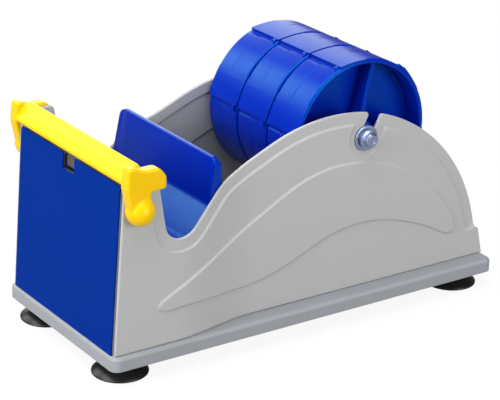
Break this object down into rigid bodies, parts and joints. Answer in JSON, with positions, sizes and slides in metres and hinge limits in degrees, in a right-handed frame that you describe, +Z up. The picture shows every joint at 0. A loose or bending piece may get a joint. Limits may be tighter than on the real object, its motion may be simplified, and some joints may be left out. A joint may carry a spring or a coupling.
{
  "type": "tape dispenser",
  "caption": "Counter-top tape dispenser: pressed side panels on a flat base with suction feet, tape cores on a lift-out axle, finger well, cutting blade and hinged blade guard.",
  "frame": {"origin": "on the table plane, under the middle of the base", "axes": "+X runs back from the guarded front to the low rear end, +Y is the side away from the camera in the picture, +Z is up"},
  "size_m": [0.2216, 0.1142, 0.128],
  "materials": {
    "panel_grey": "satin",
    "base_grey": "satin",
    "plate_blue": "satin",
    "blue_plastic": "gloss",
    "yellow_plastic": "gloss",
    "holder_grey": "satin",
    "blade_steel": "brushed",
    "plated_steel": "satin",
    "black_rubber": "matte"
  },
  "bodies": {
    "stand": {"base_tray": "base_grey", "left_side_panel": "panel_grey", "right_side_panel": "panel_grey", "front_panel": "panel_grey", "face_plate": "plate_blue", "rear_panel": "panel_grey", "panel_screws": "plated_steel", "blade_holder": "holder_grey", "cutting_blade": "blade_steel", "blade_screws": "plated_steel", "tape_rest": "blue_plastic", "tape_rest_screws": "plated_steel", "foot_front_left": "black_rubber", "foot_front_right": "black_rubber", "foot_rear_left": "black_rubber", "foot_rear_right": "black_rubber", "foot_studs": "plated_steel", "foot_nuts": "plated_steel", "pivot_pin_left": "plated_steel", "pivot_pin_right": "plated_steel", "guard_spring_left": "plated_steel", "guard_spring_right": "plated_steel"},
    "guard": {"blade_guard": "yellow_plastic"},
    "spool": {"axle": "plated_steel", "axle_cap_left": "plated_steel", "axle_cap_right": "plated_steel", "axle_washer_left": "plated_steel", "axle_washer_right": "plated_steel", "axle_collar_left": "plated_steel", "axle_collar_right": "plated_steel"},
    "hub_left": {"core_left": "blue_plastic"},
    "hub_middle": {"core_middle": "blue_plastic"},
    "hub_right": {"core_right": "blue_plastic"}
  },
  "joints": [
    {"name": "guard_pivot", "type": "hinge", "parent": "stand", "child": "guard", "pos_m": [-0.0964, 0, 0.0838], "axis": [0, -1, 0], "range_deg": [0, 22], "stiffness_Nm_per_rad": 0.05, "springref_deg": -28.65},
    {"name": "spool_lift", "type": "slide", "parent": "stand", "child": "spool", "axis": [0.454, 0, 0.891], "range_m": [0, 0.07]},
    {"name": "hub_left_spin", "type": "hinge", "parent": "spool", "child": "hub_left", "pos_m": [0.0325, 0, 0.0905], "axis": [0, 1, 0], "continuous": true},
    {"name": "hub_middle_spin", "type": "hinge", "parent": "spool", "child": "hub_middle", "pos_m": [0.0325, 0, 0.0905], "axis": [0, 1, 0], "continuous": true},
    {"name": "hub_right_spin", "type": "hinge", "parent": "spool", "child": "hub_right", "pos_m": [0.0325, 0, 0.0905], "axis": [0, 1, 0], "continuous": true}
  ]
}
